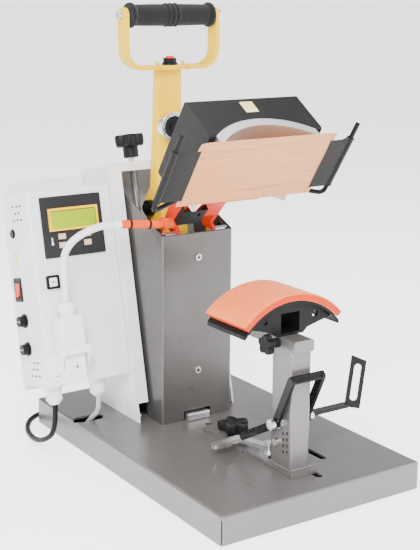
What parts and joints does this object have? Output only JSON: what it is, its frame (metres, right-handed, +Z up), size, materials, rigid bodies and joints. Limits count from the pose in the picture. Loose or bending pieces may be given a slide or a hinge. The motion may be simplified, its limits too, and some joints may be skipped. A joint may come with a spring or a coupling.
{
  "type": "cap heat press",
  "caption": "Clamshell heat press for cap fronts: curved heated head, curved silicone pad on a sliding post, pull-down lever and timer control box.",
  "frame": {"origin": "middle of the base's underside, on the bench", "axes": "+X to the right seen from the front, +Y to the rear, +Z up; the pad faces -Y and up"},
  "size_m": [0.363, 0.5757, 0.5985],
  "materials": {
    "base_pan": "semi-gloss grey powder coat",
    "base_floor": "semi-gloss grey powder coat",
    "tower_cover": "semi-gloss grey powder coat",
    "case_screws": "zinc plated",
    "rear_frame": "fine textured white powder coat",
    "pivot_bracket": "dark grey paint",
    "lever_shaft": "zinc plated",
    "arm_pins": "zinc plated",
    "return_springs": "zinc plated",
    "guide_block": "zinc plated",
    "control_box": "fine textured white powder coat",
    "box_plate": "fine textured white powder coat",
    "display_panel": "printed film",
    "display_window": "liquid crystal window",
    "rocker_frame": "black plastic",
    "box_fittings": "black plastic",
    "cable_glands": "light grey plastic",
    "connector_socket": "light grey plastic",
    "plug_hood": "light grey plastic",
    "heater_lead": "braided white sleeve",
    "mains_lead": "black flexible PVC",
    "mains_coil": "black flexible PVC",
    "mains_plug": "black flexible PVC",
    "base_wiring": "black flexible PVC",
    "lever_body": "yellow gloss paint",
    "handle_fork": "yellow gloss paint",
    "foam_grip": "soft foam",
    "grip_bolt": "zinc plated",
    "timer_bezel": "black plastic",
    "pressure_hub": "turned",
    "hub_insert": "hard black rubber",
    "knee_rollers": "hard black rubber",
    "timer_button": "red plastic",
    "arm_fork": "red gloss paint",
    "head_housing": "satin black powder coat",
    "heated_platen": "cast and machined",
    "heating_element": "mica",
    "sheet_rods": "black wire",
    "elastic_bands": "black elastic",
    "lead_bracket": "black paint",
    "lead_sleeve": "orange silicone",
    "release_sheet": "coated glass cloth",
    "pressure_knob": "black moulded plastic",
    "pressure_spindle": "ground steel",
    "crosshead": "ground steel",
    "post_frame": "semi-gloss grey powder coat",
    "pad_holder": "black paint",
    "press_pad": "silicone sponge",
    "post_bolts": "zinc plated",
    "toggle_base": "zinc plated",
    "rail_knob": "black moulded plastic",
    "beam_knob": "black moulded plastic",
    "cap_yoke": "black paint",
    "toggle_handle": "zinc plated",
    "rocker_button": "red plastic",
    "key_1": "film key",
    "key_2": "film key",
    "key_3": "film key",
    "key_4": "film key",
    "connector_latch": "light grey plastic"
  },
  "bodies": {
    "base": {"base_pan": "base_pan", "base_floor": "base_floor", "tower_cover": "tower_cover", "case_screws": "case_screws", "rear_frame": "rear_frame", "pivot_bracket": "pivot_bracket", "lever_shaft": "lever_shaft", "arm_pins": "arm_pins", "return_springs": "return_springs", "guide_block": "guide_block", "control_box": "control_box", "box_plate": "box_plate", "display_panel": "display_panel", "display_window": "display_window", "rocker_frame": "rocker_frame", "box_fittings": "box_fittings", "cable_glands": "cable_glands", "connector_socket": "connector_socket", "plug_hood": "plug_hood", "heater_lead": "heater_lead", "mains_lead": "mains_lead", "mains_coil": "mains_coil", "mains_plug": "mains_plug", "base_wiring": "base_wiring"},
    "lever": {"lever_body": "lever_body", "handle_fork": "handle_fork", "foam_grip": "foam_grip", "grip_bolt": "grip_bolt", "timer_bezel": "timer_bezel", "pressure_hub": "pressure_hub", "hub_insert": "hub_insert", "knee_rollers": "knee_rollers"},
    "timer_push": {"timer_button": "timer_button"},
    "arm": {"arm_fork": "arm_fork", "head_housing": "head_housing", "heated_platen": "heated_platen", "heating_element": "heating_element", "sheet_rods": "sheet_rods", "elastic_bands": "elastic_bands", "lead_bracket": "lead_bracket", "lead_sleeve": "lead_sleeve"},
    "sheet": {"release_sheet": "release_sheet"},
    "pressure_screw": {"pressure_knob": "pressure_knob", "pressure_spindle": "pressure_spindle"},
    "crosshead": {"crosshead": "crosshead"},
    "carriage": {"post_frame": "post_frame", "pad_holder": "pad_holder", "press_pad": "press_pad", "post_bolts": "post_bolts", "toggle_base": "toggle_base"},
    "rail_clamp": {"rail_knob": "rail_knob"},
    "beam_clamp": {"beam_knob": "beam_knob"},
    "yoke": {"cap_yoke": "cap_yoke"},
    "toggle": {"toggle_handle": "toggle_handle"},
    "rocker": {"rocker_button": "rocker_button"},
    "key_a": {"key_1": "key_1"},
    "key_b": {"key_2": "key_2"},
    "key_c": {"key_3": "key_3"},
    "key_d": {"key_4": "key_4"},
    "latch": {"connector_latch": "connector_latch"}
  },
  "joints": [
    {"name": "lever_pull", "type": "hinge", "parent": "base", "child": "lever", "pos_m": [0, 0.06, 0.263], "axis": [1, 0, 0], "range_deg": [0, 88], "stiffness_Nm_per_rad": 1.5, "springref_deg": -28.65},
    {"name": "arm_fold", "type": "hinge", "parent": "base", "child": "arm", "pos_m": [0, 0.054, 0.296], "axis": [1, 0, 0], "range_deg": [0, 56.4]},
    {"name": "sheet_lift", "type": "slide", "parent": "arm", "child": "sheet", "axis": [0, 0.832, 0.5548], "range_m": [0, 0.0252], "deforming": ["release_sheet"]},
    {"name": "pressure_turn", "type": "hinge", "parent": "base", "child": "pressure_screw", "pos_m": [0, 0.225, 0.401], "axis": [0, 0.2199, 0.9755], "range_deg": [-1801, 1801]},
    {"name": "crosshead_slide", "type": "slide", "parent": "base", "child": "crosshead", "axis": [0, 0.2199, 0.9755], "range_m": [-0.0075, 0.0075]},
    {"name": "carriage_slide", "type": "slide", "parent": "base", "child": "carriage", "axis": [0, 1, 0], "range_m": [0, 0.028]},
    {"name": "rail_knob_turn", "type": "hinge", "parent": "carriage", "child": "rail_clamp", "pos_m": [0, -0.045, 0.052], "axis": [0, 0, 1], "continuous": true},
    {"name": "beam_knob_turn", "type": "hinge", "parent": "carriage", "child": "beam_clamp", "pos_m": [-0.0275, -0.157, 0.1985], "axis": [1, 0, 0], "continuous": true},
    {"name": "yoke_swing", "type": "hinge", "parent": "carriage", "child": "yoke", "pos_m": [0, -0.165, 0.099], "axis": [1, 0, 0], "range_deg": [0, 55]},
    {"name": "toggle_turn", "type": "hinge", "parent": "carriage", "child": "toggle", "pos_m": [-0.004, -0.128, 0.0523], "axis": [0, 0, 1], "range_deg": [0, 60]},
    {"name": "timer_press", "type": "slide", "parent": "lever", "child": "timer_push", "axis": [0, 0, -1], "range_m": [0, 0.002], "stiffness_N_per_m": 300},
    {"name": "rocker_tip", "type": "hinge", "parent": "base", "child": "rocker", "pos_m": [-0.199, 0.17362, 0.21762], "axis": [0, -0.9755, 0.2199], "range_deg": [0, 10]},
    {"name": "latch_swing", "type": "hinge", "parent": "base", "child": "latch", "pos_m": [-0.173, 0.07617, 0.13093], "axis": [1, 0, 0], "range_deg": [0, 80]},
    {"name": "key_a_press", "type": "slide", "parent": "base", "child": "key_a", "axis": [0, 0.9755, -0.2199], "range_m": [0, 0.0005], "stiffness_N_per_m": 400},
    {"name": "key_b_press", "type": "slide", "parent": "base", "child": "key_b", "axis": [0, 0.9755, -0.2199], "range_m": [0, 0.0005], "stiffness_N_per_m": 400},
    {"name": "key_c_press", "type": "slide", "parent": "base", "child": "key_c", "axis": [0, 0.9755, -0.2199], "range_m": [0, 0.0005], "stiffness_N_per_m": 400},
    {"name": "key_d_press", "type": "slide", "parent": "base", "child": "key_d", "axis": [0, 0.9755, -0.2199], "range_m": [0, 0.0005], "stiffness_N_per_m": 400}
  ],
  "couplings": [
    {"joint": "arm_fold", "follows": "lever_pull", "ratio": 0.63977},
    {"joint": "sheet_lift", "follows": "lever_pull", "m_per_rad": 0.016277},
    {"joint": "pressure_turn", "follows": "crosshead_slide", "rad_per_m": -4188.8}
  ]
}
